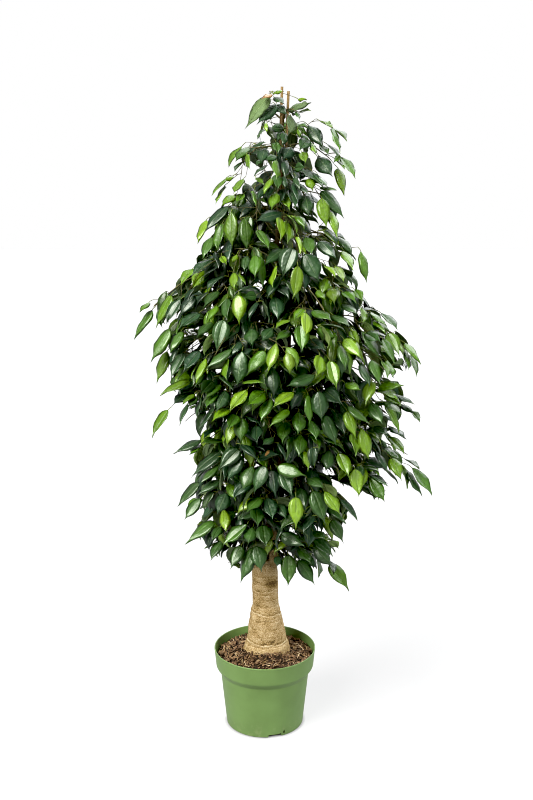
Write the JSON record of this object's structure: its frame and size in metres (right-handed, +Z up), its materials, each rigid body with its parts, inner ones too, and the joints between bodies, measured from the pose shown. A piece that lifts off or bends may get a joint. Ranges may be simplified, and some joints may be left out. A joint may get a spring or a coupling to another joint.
{
  "type": "potted weeping fig",
  "caption": "Potted weeping fig, a leafy pyramid of hanging glossy leaves on a thick wound trunk with support canes, in a round nursery pot with a deep collar.",
  "frame": {"origin": "centre of the pot's flat underside, on the floor", "axes": "+Z up along the plant, +X to the viewer's right in the picture, +Y away from the viewer"},
  "size_m": [0.7598, 0.6002, 1.658],
  "materials": {
    "pot_plastic": "satin mid-green injection-moulded plastic",
    "peat": "moist coarse coir and bark chips",
    "bark": "dry straw-coloured fibrous bark",
    "bamboo": "smooth orange-brown cane",
    "tie_rubber": "matt dark rubber tie",
    "foliage": "glossy leathery leaf, mostly dark green"
  },
  "bodies": {
    "root": {"pot": "pot_plastic", "soil": "peat", "trunk": "bark", "cane_1": "bamboo", "cane_2": "bamboo", "tie_1": "tie_rubber", "tie_2": "tie_rubber", "tie_3": "tie_rubber", "leafy_branch_01": "foliage", "leafy_branch_02": "foliage", "leafy_branch_03": "foliage", "leafy_branch_04": "foliage", "leafy_branch_05": "foliage", "leafy_branch_06": "foliage", "leafy_branch_07": "foliage", "leafy_branch_08": "foliage", "leafy_branch_09": "foliage", "leafy_branch_10": "foliage", "leafy_branch_11": "foliage", "leafy_branch_12": "foliage", "leafy_branch_13": "foliage", "leafy_branch_14": "foliage", "leafy_branch_15": "foliage", "leafy_branch_16": "foliage", "leafy_branch_17": "foliage", "leafy_branch_18": "foliage", "leafy_branch_19": "foliage", "leafy_branch_20": "foliage", "leafy_branch_21": "foliage", "leafy_branch_22": "foliage", "leafy_branch_23": "foliage", "leafy_branch_24": "foliage", "leafy_branch_25": "foliage", "leafy_branch_26": "foliage", "leafy_branch_27": "foliage", "leafy_branch_28": "foliage", "leafy_branch_29": "foliage", "leafy_branch_30": "foliage", "leafy_branch_31": "foliage", "leafy_branch_32": "foliage", "leafy_branch_33": "foliage", "leafy_branch_34": "foliage", "leafy_branch_35": "foliage", "leafy_branch_36": "foliage", "leafy_branch_37": "foliage", "leafy_branch_38": "foliage", "leafy_branch_39": "foliage", "leafy_branch_40": "foliage", "leafy_branch_41": "foliage", "leafy_branch_42": "foliage", "leafy_branch_43": "foliage", "leafy_branch_44": "foliage", "leafy_branch_45": "foliage", "leafy_branch_46": "foliage", "leafy_branch_47": "foliage", "leafy_branch_48": "foliage"}
  },
  "joints": []
}
